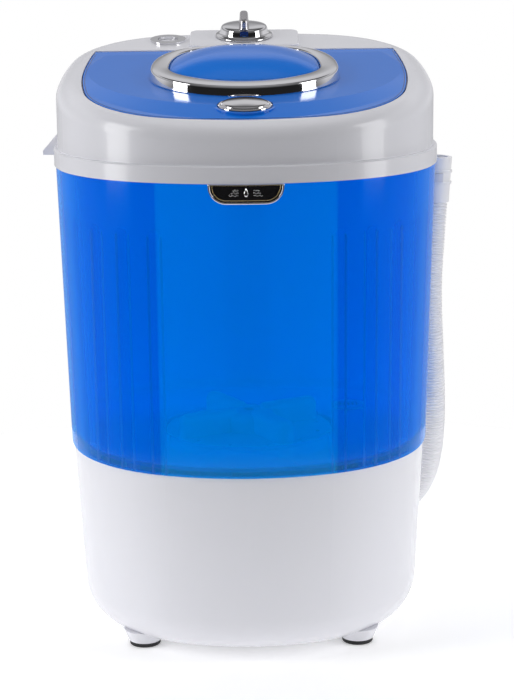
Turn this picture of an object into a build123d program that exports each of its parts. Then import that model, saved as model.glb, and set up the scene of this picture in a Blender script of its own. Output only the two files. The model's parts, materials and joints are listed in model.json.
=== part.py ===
from build123d import *
import math
import os

# Mini top load washing machine with a see-through tub.
# Millimetres, +Z up, front towards -Y, origin on the floor under the middle of the cabinet.

# ---- driving dimensions -------------------------------------------------------------------
WALL = 3.0                      # moulded plastic wall
FIT = 0.3                       # gap between pieces that must not touch

FOOT_PAD = 4.0                  # rubber under the foot bosses
FOOT_BOSS_TOP = 15.0
BASE_BOTTOM = 7.0
TUB_BOTTOM = 175.0
COLLAR_BOTTOM = 431.0
BAND_TOP = 446.0                # top of the wider band round the collar's lower edge

BASE_HALF_LOW = 154.2           # half-widths of the tapering body
BASE_HALF_HIGH = 163.2
TUB_HALF_LOW = 165.2
TUB_HALF_HIGH = 172.0
BAND_HALF = 173.5
COLLAR_HALF = 170.0
FRONT_RATIO = 0.972             # front and back depth over half-width
BACK_RATIO = 0.955

RIM_SLOPE = 0.184               # the collar's top leans towards the user
RIM_CENTRE = 509.2              # height of that top plane over the origin
SHOULDER_RADIUS = 17.0
BASE_EDGE_RADIUS = 36.0

LID_HALF = 145.0                # in the plane of the collar's top, as are all lid sizes
LID_FRONT = 148.5
LID_DEPTH = 6.0                 # depth of the lid's edge
HINGE_Y = 80.2
HINGE_DROP = 3.0
LID_GAP = 1.4
CREST_HEIGHT = 4.0              # crest of the lid over the collar's top plane
CREST_Y = -5.0
RING_HEIGHT = 12.0              # top of the chrome ring over the collar's top plane
DOME_HEIGHT = 23.0
BUTTON_Y = -118.0
BUTTON_TRAVEL = 3.0
SEAT_TOP = -4.5                 # plate under the button that its spring stands on
KNOB_Y = 124.0
PANEL_HEIGHT = 3.5              # raised panel round the knob

SHAFT_RADIUS = 5.0
RUNNING_GAP = 0.05
WELL_RADIUS = 80.0              # pulsator well in the tub's floor
TUB_FLOOR = 181.0               # upper side of the tub's floor
WELL_FLOOR = 173.0
PULLEY_RADIUS = 60.0
MOTOR_PULLEY_RADIUS = 14.0
PULLEY_LOW = 100.0
PULLEY_HIGH = 114.0
MOTOR_X = -92.0
MOTOR_RADIUS = 46.0

HOSE_RADIUS = 13.0
HOSE_ROUTE = [
    (118, 150, 41), (146, 145, 53), (168, 132, 74), (180, 116, 108), (183, 104, 160),
    (180, 97, 222), (176, 92, 292), (179, 90, 345), (181, 90, 378),
]
CUFF_LENGTH = 43.0

# shape of an outline's quarter: side arc radius and corner arc radius over the half-width,
# and the angle at which the side arc hands over to the corner arc
ROUND_FRONT = (1.203, 17.9, 0.829)
SQUARE_BACK = (2.640, 8.6, 0.625)
LID_QUARTER = (2.430, 9.8, 0.706)

RIM_TILT = math.degrees(math.atan(RIM_SLOPE))
RIM = Location((0, 0, RIM_CENTRE), (RIM_TILT, 0, 0))    # frame of the collar's top plane

os.makedirs("parts", exist_ok=True)


# ---- outlines ------------------------------------------------------------------------------
def quarter(half_width, depth, shape):
    """Three tangent arcs from the side point (half_width, 0) to the end point (0, depth)."""
    side_ratio, side_angle, corner_ratio = shape
    side_radius = side_ratio * half_width
    corner_radius = corner_ratio * half_width
    side_centre = Vector(half_width - side_radius, 0)
    reach = side_radius - corner_radius
    corner = side_centre + Vector(reach, 0).rotate(Axis.Z, side_angle)
    drop = depth - corner.Y
    end_radius = (corner_radius**2 - corner.X**2 - drop**2) / (2 * (corner_radius - drop))
    end_centre = Vector(0, depth - end_radius)
    end_angle = math.degrees(math.atan2(corner.Y - end_centre.Y, corner.X))
    return [
        CenterArc(side_centre, side_radius, 0, side_angle),
        CenterArc(corner, corner_radius, side_angle, end_angle - side_angle),
        CenterArc(end_centre, end_radius, end_angle, 90 - end_angle),
    ]


def oval_face(half_width, front, back, front_shape, back_shape):
    """Closed outline of four quarters, centred where it is widest."""
    right_back = quarter(half_width, back, back_shape)
    right_front = [mirror(arc, about=Plane.XZ) for arc in quarter(half_width, front, front_shape)]
    right = right_back + right_front
    left = [mirror(arc, about=Plane.YZ) for arc in right]
    return make_face(right + left)


def body_face(half_width):
    return oval_face(
        half_width, half_width * FRONT_RATIO, half_width * BACK_RATIO, ROUND_FRONT, SQUARE_BACK
    )


def lid_face(inset=0.0):
    """Lid outline: round front, bowed sides and a straight hinge edge."""
    half = LID_HALF - inset
    front = LID_FRONT - inset
    side_bow = 600.0
    back = HINGE_Y + HINGE_DROP - inset
    back_half = half - back**2 / (2 * side_bow)
    right = [mirror(arc, about=Plane.XZ) for arc in quarter(half, front, LID_QUARTER)]
    right.append(RadiusArc((half, 0), (back_half, back), -side_bow))
    left = [mirror(arc, about=Plane.YZ) for arc in right]
    return make_face(right + left + [Line((back_half, back), (-back_half, back))])


# ---- solid helpers -------------------------------------------------------------------------
def prism(face, low, high):
    return extrude(Pos(0, 0, low) * face, high - low)


def tapered(half_low, half_high, low, high):
    return loft([Pos(0, 0, low) * body_face(half_low), Pos(0, 0, high) * body_face(half_high)])


def rod(radius, low, high, x=0.0, y=0.0):
    return prism(Pos(x, y, 0) * Circle(radius), low, high)


def tube(outer, inner, low, high, x=0.0, y=0.0):
    return rod(outer, low, high, x, y) - rod(inner, low, high, x, y)


def block(x_low, x_high, y_low, y_high, z_low, z_high):
    centre = ((x_low + x_high) / 2, (y_low + y_high) / 2, (z_low + z_high) / 2)
    return Pos(*centre) * Box(x_high - x_low, y_high - y_low, z_high - z_low)


def screw(radius, head_radius, head, length):
    """Pan head screw: head above z = 0, shank below, cross recess in the head."""
    body = rod(head_radius, 0, head) + rod(radius, -length, 0)
    recess = Box(head_radius * 1.2, 0.8, head) + Box(0.8, head_radius * 1.2, head)
    return body - Pos(0, 0, head) * recess


def pipe(points, radii, outer, inner=0.0):
    """Round bar or hollow pipe along straight runs joined by arcs."""
    path = FilletPolyline(*points, radius=radii)
    start = Plane(origin=path @ 0, z_dir=path % 0)
    section = start * Circle(outer)
    if inner:
        section -= start * Circle(inner)
    return sweep(section, path=path)


def run_radii(points):
    """Arc radius at each inner point: 0.45 of the shorter run over the tangent of half the turn."""
    radii = []
    for before, here, after in zip(points, points[1:], points[2:]):
        run_in = Vector(*here) - Vector(*before)
        run_out = Vector(*after) - Vector(*here)
        half_turn = math.radians(run_in.get_angle(run_out) / 2)
        radii.append(0.45 * min(run_in.length, run_out.length) / math.tan(half_turn))
    return radii


def save(shape, name):
    solids = shape.solids()
    result = solids[0] if len(solids) == 1 else Compound(solids)
    export_step(result, f"parts/{name}.step")


# ---- shapes that several pieces share ------------------------------------------------------
LUG_POINTS = [(103, -103), (-103, -103), (108, 94), (-108, 94)]
FOOT_POINTS = [(97, -90, "front_right"), (-97, -90, "front_left"),
               (97, 100, "back_right"), (-97, 100, "back_left")]
MOUNT_POINTS = [(98, 0), (-52, 82), (-52, -82)]
PLATE_POINTS = [(0, -98), (98, 0), (-98, 0), (0, 94), (-45, -88), (45, -88)]
FLOOR_DRAIN = (97, 66)
DUCT_HALF = 22.0
DUCT_BACK = 173.5
DUCT_LOW = 116.0
DUCT_TOP = 472.0

tub_outer = tapered(TUB_HALF_LOW, TUB_HALF_HIGH, TUB_BOTTOM, COLLAR_BOTTOM)
base_outer = tapered(BASE_HALF_LOW, BASE_HALF_HIGH, BASE_BOTTOM, TUB_BOTTOM)
upright = RIM * block(-400, 400, -400, 400, -400, 0)     # everything under the top plane


def shoulder_block(half_width, drop, edge_radius):
    """Body of the collar down from the sloping top, its upper edge rounded."""
    blank = prism(body_face(half_width), COLLAR_BOTTOM, RIM_CENTRE + 60) & Pos(0, 0, -drop) * upright
    top_face = blank.faces().sort_by(Axis.Z)[-1]
    return fillet(top_face.edges(), edge_radius)


# ---- base ----------------------------------------------------------------------------------
hose_start = Vector(*HOSE_ROUTE[0])
hose_first_run = (Vector(*HOSE_ROUTE[1]) - hose_start).normalized()
outlet_corner = hose_start - hose_first_run * 24
OUTLET_ROUTE = [(96.6, 108, outlet_corner.Z), tuple(outlet_corner), HOSE_ROUTE[0]]
GLAND = Plane(origin=(-70, 144, 45), z_dir=(-0.217, 0.976, -0.05))


def make_base_housing():
    outer = fillet(base_outer.edges().group_by(Axis.Z)[0], BASE_EDGE_RADIUS)
    inner = tapered(BASE_HALF_LOW - WALL, BASE_HALF_HIGH - WALL, BASE_BOTTOM + WALL, TUB_BOTTOM)
    inner = fillet(inner.edges().group_by(Axis.Z)[0], BASE_EDGE_RADIUS - WALL)
    shell = outer - inner
    shell -= prism(body_face(88), 0, BASE_BOTTOM + 2 * WALL)
    for x, y, _ in FOOT_POINTS:
        shell += Pos(x, y, (FOOT_PAD + FOOT_BOSS_TOP) / 2) * Cone(14.5, 19, FOOT_BOSS_TOP - FOOT_PAD)
        shell -= rod(4, FOOT_PAD, 12, x, y)
    for x, y in PLATE_POINTS:
        shell += rod(5, BASE_BOTTOM + WALL - 0.5, 24, x, y)
        shell -= rod(1.6, 0, 20, x, y)
    lugs = Part()
    for x, y in LUG_POINTS:
        lugs += prism(Pos(x, y) * Circle(9) + Pos(x * 1.15, y * 1.15) * Circle(14), 156, 160)
    shell += lugs & tapered(BASE_HALF_LOW - 1, BASE_HALF_HIGH - 1, BASE_BOTTOM, TUB_BOTTOM)
    for x, y in LUG_POINTS:
        shell -= rod(2.2, 150, 165, x, y)
    shell -= pipe(OUTLET_ROUTE, [13], 11)
    shell -= GLAND * rod(7, -12, 12)
    shell -= block(-9, 9, 130, 170, 122, 148)
    return shell


def make_base_plate():
    plate = prism(body_face(106), BASE_BOTTOM - 2, BASE_BOTTOM)
    for row in range(7):
        y = -45 + 15 * row
        slot = SlotOverall(52, 5)
        plate -= prism(Pos(-45, y) * slot, 0, 20) + prism(Pos(45, y) * slot, 0, 20)
    for x, y in PLATE_POINTS:
        plate -= rod(2.1, 0, 20, x, y)
    return plate


def make_foot(x, y):
    pad = fillet(rod(14, 0, FOOT_PAD).edges().group_by(Axis.Z)[0], 1.2)
    return Pos(x, y) * (pad + rod(4, FOOT_PAD, 12))


def make_plate_screws():
    one = Rot(180, 0, 0) * screw(1.6, 3.6, 2, 14)
    return [Pos(x, y, BASE_BOTTOM - 2) * one for x, y in PLATE_POINTS]


save(make_base_housing(), "base_housing")
save(make_base_plate(), "base_plate")
save(Compound(make_plate_screws()), "base_plate_screws")
for foot_x, foot_y, place in FOOT_POINTS:
    save(make_foot(foot_x, foot_y), f"foot_{place}")


# ---- tub -----------------------------------------------------------------------------------
RIB_RADIUS = 6.0
RIB_SPACING = 31.5
RIB_COUNT = 8                   # on each side
RIB_START = 80.0                # along the wall from the middle of the front
RIB_TOP = 384.0


def make_ribs():
    """Half-round wash ribs up the inside of the wall, clear of the smooth front panel."""
    share = (RIB_TOP - TUB_BOTTOM) / (COLLAR_BOTTOM - TUB_BOTTOM)
    half_top = TUB_HALF_LOW + share * (TUB_HALF_HIGH - TUB_HALF_LOW)
    low = body_face(TUB_HALF_LOW - WALL).face().outer_wire()
    high = body_face(half_top - WALL).face().outer_wire()
    ribs = Part()
    for number in range(RIB_COUNT):
        angle = math.radians((RIB_START + RIB_SPACING * number) * 180 / 510)
        for side in (-1, 1):
            ray = Line((0, 0), (400 * side * math.sin(angle), -400 * math.cos(angle)))
            foot = (low & ray).vertices()[0].center() + Vector(0, 0, TUB_FLOOR - 2)
            top = (high & ray).vertices()[0].center() + Vector(0, 0, RIB_TOP)
            axis = Plane(origin=foot, z_dir=top - foot)
            ribs += axis * Pos(0, 0, (top - foot).length / 2) * Cylinder(RIB_RADIUS, (top - foot).length)
            ribs += Pos(*tuple(top)) * Sphere(RIB_RADIUS)
    return ribs & tub_outer


def make_tub():
    neck_top = COLLAR_BOTTOM + 10
    inner = tapered(TUB_HALF_LOW - WALL, TUB_HALF_HIGH - WALL, TUB_FLOOR, COLLAR_BOTTOM - 4)
    inner = fillet(inner.edges().group_by(Axis.Z)[0], 10)
    shell = tub_outer + prism(body_face(169), COLLAR_BOTTOM - 1, neck_top)
    shell += prism(body_face(158), 165, TUB_BOTTOM + 1)
    shell -= inner
    shell -= prism(body_face(166), COLLAR_BOTTOM - 6, neck_top)
    shell -= prism(body_face(155), 160, TUB_FLOOR - WALL)
    shell += rod(WELL_RADIUS + WALL, WELL_FLOOR - WALL, TUB_FLOOR)
    shell -= rod(WELL_RADIUS, WELL_FLOOR, TUB_FLOOR + 5)
    shell -= rod(20, WELL_FLOOR - 10, WELL_FLOOR + 1)
    shell += rod(14, 158, TUB_FLOOR - 1, *FLOOR_DRAIN)
    shell -= rod(11, 150, TUB_FLOOR + 5, *FLOOR_DRAIN)
    for x, y in LUG_POINTS:
        shell += rod(6, 160, TUB_FLOOR - 1, x, y)
        shell -= rod(1.8, 160, TUB_FLOOR - 5, x, y)
    for x, y in MOUNT_POINTS:
        shell += rod(6, 166, TUB_FLOOR - 1, x, y)
        shell -= rod(1.8, 166, TUB_FLOOR - 4, x, y)
    shell += make_ribs()
    for x in (-50, 50):
        shell -= Pos(x, 160, COLLAR_BOTTOM + 5) * Rot(90, 0, 0) * Cylinder(1.8, 30)
    return shell


def make_tub_gasket():
    return prism(body_face(159.6) - body_face(158.2), 166, 173)


def make_tub_screws():
    one = Rot(180, 0, 0) * screw(1.8, 4, 2.5, 17)
    return [Pos(x, y, 156) * one for x, y in LUG_POINTS]


def make_drain_strainer():
    """Slotted cap over the floor drain."""
    cap = rod(16, TUB_FLOOR, TUB_FLOOR + 2.5) + rod(10.8, TUB_FLOOR - 6, TUB_FLOOR)
    cap -= rod(9, TUB_FLOOR - 10, TUB_FLOOR + 0.8)
    for number in range(5):
        cap -= Pos(-8 + 4 * number, 0, TUB_FLOOR) * Box(1.6, 12, 8)
    return Pos(*FLOOR_DRAIN) * cap


save(make_tub(), "tub")
save(make_tub_gasket(), "tub_gasket")
save(Compound(make_tub_screws()), "tub_screws")
save(make_drain_strainer(), "drain_strainer")


# ---- collar and what is on it --------------------------------------------------------------
RECESS_DEPTH = 7.0
OPENING_INSET = 15.0
INLET_X = -73.0
INLET_Y = 122.0
INLET_RADIUS = 9.5


def collar_inside():
    return shoulder_block(COLLAR_HALF - WALL, WALL, SHOULDER_RADIUS - WALL)


def make_collar():
    shell = shoulder_block(COLLAR_HALF, 0, SHOULDER_RADIUS)
    band = prism(body_face(BAND_HALF), COLLAR_BOTTOM, BAND_TOP)
    shell += chamfer(band.edges().group_by(Axis.Z)[-1], 1.2)
    cavity = collar_inside()
    tray = RIM * prism(lid_face(-LID_GAP - WALL), -RECESS_DEPTH - WALL, -0.1)
    lip = RIM * prism(lid_face(OPENING_INSET - WALL), -26, -RECESS_DEPTH)
    bosses = Part()
    for side in (-1, 1):
        bosses += RIM * block(
            side * 138 - 8, side * 138 + 8, HINGE_Y - 8, HINGE_Y + 8, -13, -0.1
        )
    shell -= cavity
    shell += (tray + lip + bosses) & shoulder_block(COLLAR_HALF - 1, 0, SHOULDER_RADIUS)
    shell -= RIM * prism(lid_face(-LID_GAP), -RECESS_DEPTH, 5)
    shell -= RIM * prism(lid_face(OPENING_INSET), -60, 5)
    shell -= prism(body_face(169.2), COLLAR_BOTTOM - 1, COLLAR_BOTTOM + 10.2)
    for side in (-1, 1):
        pin = Pos(side * 141, HINGE_Y, -HINGE_DROP) * Rot(0, 90, 0) * Cylinder(1.5, 8)
        shell -= RIM * pin
    shell -= RIM * rod(14.2, -20, 5, INLET_X, INLET_Y)
    shell -= RIM * rod(8, -20, 5, 0, KNOB_Y)
    for x in (-50, 50):
        shell -= Pos(x, 165, COLLAR_BOTTOM + 5) * Rot(90, 0, 0) * Cylinder(2, 30)
    shell -= block(-9, 9, 155, 175, BAND_TOP - 4, BAND_TOP + 18)
    return shell


def make_collar_screws():
    """Two screws through the back of the band into the tub's neck."""
    back = BAND_HALF * BACK_RATIO - 1.2
    one = Rot(-90, 0, 0) * screw(1.8, 4, 2, 8)
    return [Pos(x, back, COLLAR_BOTTOM + 5) * one for x in (-50, 50)]


def make_hinge_pins():
    pins = [Pos(side * 138.5, HINGE_Y, -HINGE_DROP) * Rot(0, 90, 0) * Cylinder(1.5, 13)
            for side in (-1, 1)]
    return [RIM * pin for pin in pins]


def make_control_panel():
    """Raised cover round the knob, from the lid's hinge edge to the back shoulder."""
    panel = prism(Pos(0, 118) * RectangleRounded(104, 62, 8), 0, PANEL_HEIGHT)
    panel = fillet(panel.edges().group_by(Axis.Z)[-1], 1.5)
    return RIM * (panel - rod(8, -1, 10, 0, KNOB_Y))


def make_inlet_port():
    """Water inlet: flanged socket through the collar's top."""
    port = tube(17, INLET_RADIUS, 0, 1.8) + tube(14, INLET_RADIUS, -24, 0)
    return RIM * Pos(INLET_X, INLET_Y) * port


def make_rear_tray():
    """Splash tray that closes the timer's compartment from the tub."""
    floor_low = 452.0
    room = prism(body_face(COLLAR_HALF - WALL - FIT), floor_low, floor_low + 60) & collar_inside()
    front = HINGE_Y + 10
    tray = room & block(-150, 150, front, 200, floor_low, floor_low + 2.5)
    wall = room & block(-128, 128, front, front + 2.5, floor_low, 505)
    tray += wall
    tray -= rod(15, 440, 470, INLET_X, 122.5) + rod(6, 440, 470, 0, 154)
    return tray


def make_badge(outer_step, inner_step, rim):
    """Badge blank bent round the tub's front, flat on top with big round lower corners."""
    half, height = 32.0, 17.0
    top = COLLAR_BOTTOM - 0.2
    plate = Rectangle(2 * half, 2 * height)
    plate = fillet(plate.vertices().group_by(Axis.Y)[0], 15)
    if rim:
        inner = Rectangle(2 * half - 4, 2 * height - 4)
        plate -= fillet(inner.vertices().group_by(Axis.Y)[0], 13.5)
    plate = Plane.XZ * (plate & Pos(0, -height) * Rectangle(4 * half, 2 * height))
    prism_through = extrude(Pos(0, -150, top) * plate, 40)
    skin = tapered(TUB_HALF_LOW + outer_step, TUB_HALF_HIGH + outer_step, TUB_BOTTOM, COLLAR_BOTTOM)
    skin -= tapered(TUB_HALF_LOW + inner_step, TUB_HALF_HIGH + inner_step, TUB_BOTTOM, COLLAR_BOTTOM)
    return prism_through & skin


def make_hose_hook():
    """Small wedge on the left of the collar band for hanging up the hose's free end."""
    y = 40.0
    profile = Polyline((-172, 455), (-187, 438), (-187, 434), (-172, 434), close=True)
    hook = extrude(Plane.XZ.offset(-y) * make_face(profile), 14, both=False)
    return hook - prism(body_face(BAND_HALF), COLLAR_BOTTOM, BAND_TOP) - shoulder_block(
        COLLAR_HALF, 0, SHOULDER_RADIUS)


cuff_start = Vector(*HOSE_ROUTE[-1])
cuff_axis = (cuff_start - Vector(*HOSE_ROUTE[-2])).normalized()
CUFF = Plane(origin=cuff_start, x_dir=(1, 0, 0), z_dir=cuff_axis)


def make_hose_clip():
    """Open ring on an arm that holds the hose's cuff beside the tub."""
    ring = tube(17.2, 14.3, 20, 28)
    ring -= block(5.5, 40, -40, 40, 0, 50)
    arm = block(-34, -14.5, -7, 7, 20, 28) - rod(15, 0, 50)
    return CUFF * (ring + arm) - tub_outer


save(make_collar(), "collar")
save(Compound(make_collar_screws()), "collar_screws")
save(Compound(make_hinge_pins()), "hinge_pins")
save(make_control_panel(), "control_panel")
save(make_inlet_port(), "inlet_port")
save(make_rear_tray(), "rear_tray")
save(make_badge(1.2, 0.0, False), "badge_plate")
save(make_badge(2.2, 1.2, True), "badge_bezel")
save(make_hose_hook(), "hose_hook")
save(make_hose_clip(), "hose_clip")


# ---- lid -----------------------------------------------------------------------------------
RING_Y = -22.0                  # where the ring is widest
RING_OUTER = (85, -92, (78, 10), (61, 43), 61)
RING_INNER = (67.5, -67, (64, 4), (50, 36), 50)


def ring_face(half, front, side, corner, back):
    """Half ellipse in front and sides that close in towards a flatter back."""
    front_arc = EllipticalCenterArc(
        (0, RING_Y), half, RING_Y - front, start_angle=180, arc_size=180
    )
    right = Spline((half, RING_Y), side, corner, (0, back), tangents=((0, 1), (-1, 0)))
    return make_face([front_arc, right, mirror(right, about=Plane.YZ)])


def ring_inside(inset):
    half, front, (side_x, side_y), (corner_x, corner_y), back = RING_INNER
    return ring_face(
        half - inset, front + inset, (side_x - inset, side_y),
        (corner_x - inset, corner_y - inset), back - inset
    )


def crest_block(inset, top):
    """Lid's raised middle: a bevel up from the front edge to a crest, falling to the hinge."""
    low = Pos(0, CREST_Y, 0) * Ellipse(LID_HALF + 5 - inset, LID_FRONT + CREST_Y - inset)
    high = Pos(0, CREST_Y, CREST_HEIGHT) * Ellipse(126 - inset, 114 - inset)
    bevel = Pos(0, 0, top) * loft([low, high])
    tilt = math.degrees(math.atan(CREST_HEIGHT / (70 - CREST_Y + 114)))
    under = Location((0, 70, top), (-tilt, 0, 0)) * block(-400, 400, -400, 0, -60, 0)
    return bevel & under & prism(lid_face(inset), -LID_DEPTH, 20)


def lid_outside():
    return prism(lid_face(), -LID_DEPTH, 0) + crest_block(0, 0)


def oval_rod(half_width, low, high):
    return prism(Pos(0, BUTTON_Y) * Ellipse(half_width, half_width - 3), low, high)


def make_lid_panel():
    panel = lid_outside()
    hollow = prism(lid_face(WALL), -LID_DEPTH - 1, -WALL) + crest_block(WALL, -WALL)
    panel -= hollow & block(-200, 200, -200, HINGE_Y - 6, -50, 50)
    panel -= block(-200, 200, HINGE_Y, HINGE_Y + 10, -20, 20)
    panel += Pos(0, HINGE_Y, -HINGE_DROP) * Rot(0, 90, 0) * Cylinder(HINGE_DROP, 2 * 138.8)
    for side in (-1, 1):
        bore = Pos(side * 138, HINGE_Y, -HINGE_DROP) * Rot(0, 90, 0) * Cylinder(1.55, 14)
        panel -= bore
    panel += oval_rod(26.5, -LID_DEPTH, 3.2)
    panel -= oval_rod(23.8, -20, 20)
    return RIM * panel


def make_lid_ring():
    band = prism(ring_face(*RING_OUTER), -1, RING_HEIGHT)
    band -= prism(ring_face(*RING_INNER), -2, RING_HEIGHT + 1)
    band = fillet(band.edges().group_by(Axis.Z)[-1], 1.2)
    return RIM * (band - Pos(0, 0, 0.02) * lid_outside())


def make_lid_dome():
    """See-through crown that fills the ring."""
    middle = (RING_INNER[1] + RING_INNER[4]) / 2
    stretch = (RING_INNER[4] - RING_INNER[1]) / (2 * RING_INNER[0])

    def crown(shrink):
        rise = DOME_HEIGHT - RING_HEIGHT + 2
        radius = (RING_INNER[0] ** 2 + rise**2) / (2 * rise)
        ball = scale(Sphere(radius), by=(1, stretch, 1))
        ball = Pos(0, middle, DOME_HEIGHT - radius - shrink) * ball
        return ball & prism(ring_inside(FIT / 2 + shrink), 0, 50)

    return RIM * (crown(0) - crown(2.5) - Pos(0, 0, 0.02) * lid_outside())


def make_latch_button():
    """Domed oval push button with a hollow skirt and a plunger."""
    cap = oval_rod(23.2, SEAT_TOP + BUTTON_TRAVEL + FIT, 7)
    cap = fillet(cap.edges().group_by(Axis.Z)[-1], 2.5)
    cap -= oval_rod(21.2, -10, 4)
    cap += rod(4, -9, 4.5, 0, BUTTON_Y)
    return RIM * cap


def make_button_spring():
    """Coil round the plunger, from the seat to the underside of the cap."""
    coil_radius, wire_radius = 7.5, 0.6
    height = 4 - SEAT_TOP - 2 * wire_radius
    helix = Helix(pitch=2.4, height=height, radius=coil_radius)
    wire = sweep(Plane(origin=helix @ 0, z_dir=helix % 0) * Circle(wire_radius), path=helix)
    return RIM * Pos(0, BUTTON_Y, SEAT_TOP + wire_radius) * wire


def make_button_seat():
    """Plate that closes the button's well and guides the plunger."""
    seat = oval_rod(23.8, -LID_DEPTH, SEAT_TOP)
    return RIM * (seat - rod(4.4, -20, 0, 0, BUTTON_Y))


save(make_lid_panel(), "lid_panel")
save(make_lid_ring(), "lid_ring")
save(make_lid_dome(), "lid_dome")
save(make_latch_button(), "latch_button")
save(make_button_spring(), "button_spring")
save(make_button_seat(), "button_seat")


# ---- timer ---------------------------------------------------------------------------------
KNOB_LOW = PANEL_HEIGHT + 0.4


def make_timer_knob():
    flange = fillet(rod(27.5, KNOB_LOW, KNOB_LOW + 2).edges().group_by(Axis.Z)[-1], 0.8)
    skirt = rod(23, KNOB_LOW + 1, 14)
    for number in range(24):
        skirt -= Rot(0, 0, 15 * number + 7.5) * rod(1.6, KNOB_LOW + 3, 20, 23.6)
    skirt = skirt + prism(SlotOverall(44, 8.4), 13, 23.7).rotate(Axis.Z, 90)
    knob = flange + skirt
    knob -= block(-4, 4, -24, -19, 7, 13)
    knob -= rod(3, 0, 16)
    return RIM * Pos(0, KNOB_Y) * knob


def make_knob_pointer():
    return RIM * Pos(0, KNOB_Y) * (block(-3.9, 3.9, -22.6, -19, 7.1, 12.9))


def make_timer_shaft():
    return RIM * rod(3, -22, 16, 0, KNOB_Y)


def make_timer_body():
    case = prism(Pos(0, KNOB_Y) * RectangleRounded(46, 46, 5), -26, -6)
    case += rod(7.5, -6, -0.5, 0, KNOB_Y)
    case -= rod(3.05, -22.5, 1, 0, KNOB_Y)
    for side in (-1, 1):
        case += block(side * 29 - 7, side * 29 + 7, KNOB_Y - 6, KNOB_Y + 6, -6, -3.05)
        case -= rod(1.7, -10, 0, side * 30, KNOB_Y)
    return RIM * case


save(make_timer_knob(), "timer_knob")
save(make_knob_pointer(), "knob_pointer")
save(make_timer_shaft(), "timer_shaft")
save(make_timer_body(), "timer_body")


# ---- pulsator and its shaft ----------------------------------------------------------------
def make_pulsator():
    """Ribbed disc that turns the water, with four swept vanes and a raised hub."""
    disc = rod(77, 176, 179) + rod(26, 176, 196)
    disc = fillet(disc.edges().group_by(Axis.Z)[-1], 9)
    for number in range(4):
        vane = prism(Pos(42, 0) * SlotOverall(62, 17), 178, 200)
        vane = fillet(vane.edges().group_by(Axis.Z)[-1], 7.5)
        disc += Rot(0, 0, 90 * number + 30) * vane
    for number in range(12):
        disc -= Rot(0, 0, 30 * number + 15) * rod(2.5, 170, 190, 66)
    disc -= rod(SHAFT_RADIUS, 170, 190)
    disc -= rod(2, 170, 205)
    return disc - rod(5, 193, 205)


def make_drive_shaft():
    return rod(SHAFT_RADIUS, 88, 190) - rod(1.6, 176, 191)


def make_driven_pulley():
    groove = [(PULLEY_RADIUS - 9, 107), (PULLEY_RADIUS + 1, 101.5), (PULLEY_RADIUS + 1, 112.5)]
    groove_ring = revolve(Plane.XZ * make_face(Polyline(*groove, close=True)), Axis.Z)
    pulley = rod(PULLEY_RADIUS, PULLEY_LOW, PULLEY_HIGH) - groove_ring
    pulley -= tube(PULLEY_RADIUS - 12, 14, PULLEY_LOW - 1, 103.5)
    pulley -= tube(PULLEY_RADIUS - 12, 14, 110.5, PULLEY_HIGH + 1)
    for number in range(6):
        pulley -= Rot(0, 0, 60 * number) * rod(9, 90, 120, 31)
    return pulley - rod(SHAFT_RADIUS, 90, 120)


def make_pulley_nut():
    return prism(RegularPolygon(9, 6), 94, PULLEY_LOW) - rod(SHAFT_RADIUS, 90, 110)


def make_pulsator_screw():
    return Pos(0, 0, 193) * (rod(4.6, 0, 2.6) + rod(2, -3, 0) + rod(1.6, -15, -3)
                             - Pos(0, 0, 2.6) * Box(7, 1, 2))


def make_bearing_housing():
    house = rod(34, 166, 169.9) + rod(17, 122, 169.9) + rod(19.8, 169, 175)
    for number in range(4):
        house -= Rot(0, 0, 90 * number + 45) * rod(2.1, 160, 172, 27)
    house -= rod(10, 120, 133) + rod(10, 155, 168) + rod(7, 120, 168)
    return house - rod(14, 168, 176)


def make_shaft_bushes():
    return [tube(10, SHAFT_RADIUS + RUNNING_GAP, low, low + 13) for low in (120, 155)]


def make_shaft_seal():
    return tube(14, SHAFT_RADIUS + RUNNING_GAP, 168, 174.5)


def make_drive_plate():
    """Steel plate under the tub that carries the bearing housing and the motor."""
    outline = make_hull(
        (Circle(50).edges() + (Pos(MOTOR_X, 0) * Circle(58)).edges())
    ) + Pos(78, 0) * Rectangle(64, 34) + Pos(-52, 0) * RectangleRounded(34, 190, 8)
    plate = prism(outline, 163, 166) - rod(17.2, 160, 170) - rod(10, 160, 170, MOTOR_X)
    for x, y in MOUNT_POINTS:
        plate -= rod(2.2, 160, 170, x, y)
    for number in range(4):
        plate -= Rot(0, 0, 90 * number + 45) * rod(2.1, 160, 172, 27)
    for x, y in motor_bolt_points():
        plate -= rod(2.6, 160, 170, x, y)
    return plate


def motor_bolt_points():
    return [(MOTOR_X + 40 * math.cos(math.radians(a)), 40 * math.sin(math.radians(a)))
            for a in (45, 135, 225, 315)]


def make_drive_plate_screws():
    one = Rot(180, 0, 0) * screw(1.8, 4, 3, 12)
    return [Pos(x, y, 163) * one for x, y in MOUNT_POINTS]


def make_bearing_bolts():
    bolt = Rot(180, 0, 0) * screw(2.1, 4.2, 3, 6.9)
    spots = [Rot(0, 0, 90 * number + 45) * Pos(27, 0) for number in range(4)]
    return [spot * Pos(0, 0, 163) * bolt for spot in spots]


save(make_pulsator(), "pulsator")
save(make_pulsator_screw(), "pulsator_screw")
save(make_drive_shaft(), "drive_shaft")
save(make_driven_pulley(), "driven_pulley")
save(make_pulley_nut(), "pulley_nut")
save(make_bearing_housing(), "bearing_housing")
save(Compound(make_shaft_bushes()), "shaft_bushes")
save(make_shaft_seal(), "shaft_seal")
save(make_drive_plate(), "drive_plate")
save(Compound(make_drive_plate_screws()), "drive_plate_screws")
save(Compound(make_bearing_bolts()), "bearing_bolts")


# ---- motor ---------------------------------------------------------------------------------
CAPACITOR_PLACE = (40, -42)
MOTOR_TOP = 163.0
MOTOR_BOTTOM = 119.0


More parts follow.
